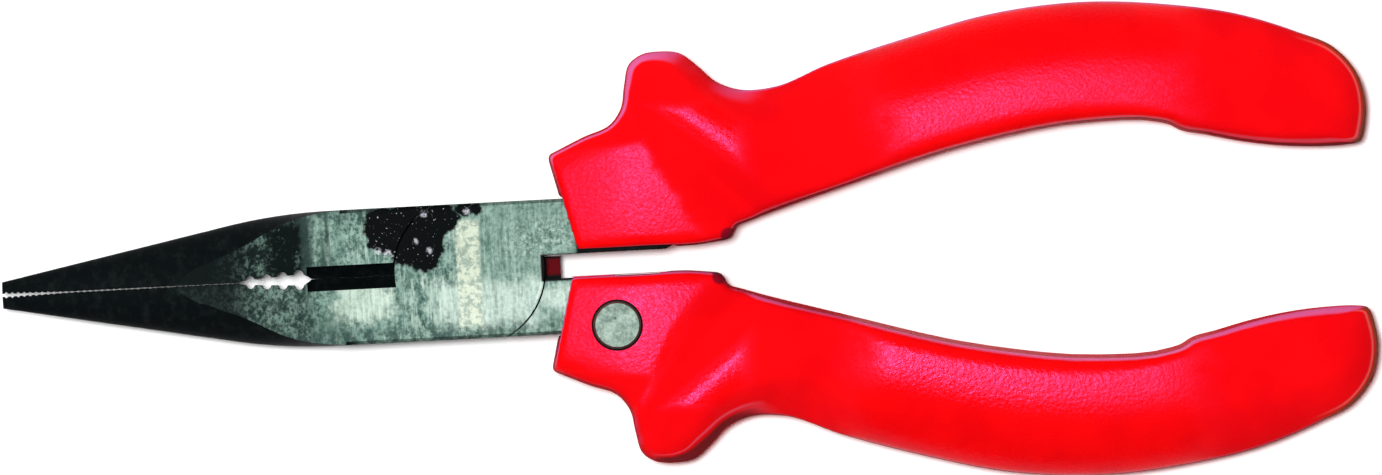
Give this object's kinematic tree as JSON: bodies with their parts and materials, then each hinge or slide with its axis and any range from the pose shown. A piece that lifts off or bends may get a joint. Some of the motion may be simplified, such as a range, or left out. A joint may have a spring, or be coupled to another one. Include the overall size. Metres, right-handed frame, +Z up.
{
  "type": "needle nose pliers",
  "caption": "Long tapered half-round jaws with fine teeth, pipe grip and side cutter, lap joint on a flush rivet, curved soft grips with finger guards.",
  "frame": {"origin": "middle of the footprint, on the surface that the tool lies on; the pivot's axis crosses it at x = -25.3 mm", "axes": "+X along the tool from the jaw tips to the handle ends, +Y across it towards the upper grip, +Z up along the rivet when the tool lies flat"},
  "size_m": [0.16, 0.0554, 0.0124],
  "materials": {
    "tool_steel": "forged and oil-blackened, flat faces ground",
    "rivet_steel": "ground flush with the head",
    "grip_vinyl": "moulded red vinyl, semi-gloss with a fine grain",
    "pin_steel": "plain turned steel"
  },
  "bodies": {
    "front_lever": {"front_jaw_half": "tool_steel", "pivot_rivet": "rivet_steel", "upper_grip": "grip_vinyl", "upper_grip_pin": "pin_steel"},
    "rear_lever": {"rear_jaw_half": "tool_steel", "lower_grip": "grip_vinyl", "lower_grip_pin": "pin_steel"}
  },
  "joints": [
    {"name": "jaw_pivot", "type": "hinge", "parent": "front_lever", "child": "rear_lever", "pos_m": [-0.0253, 0, 0.0062], "axis": [0, 0, -1], "range_deg": [0, 50]}
  ]
}
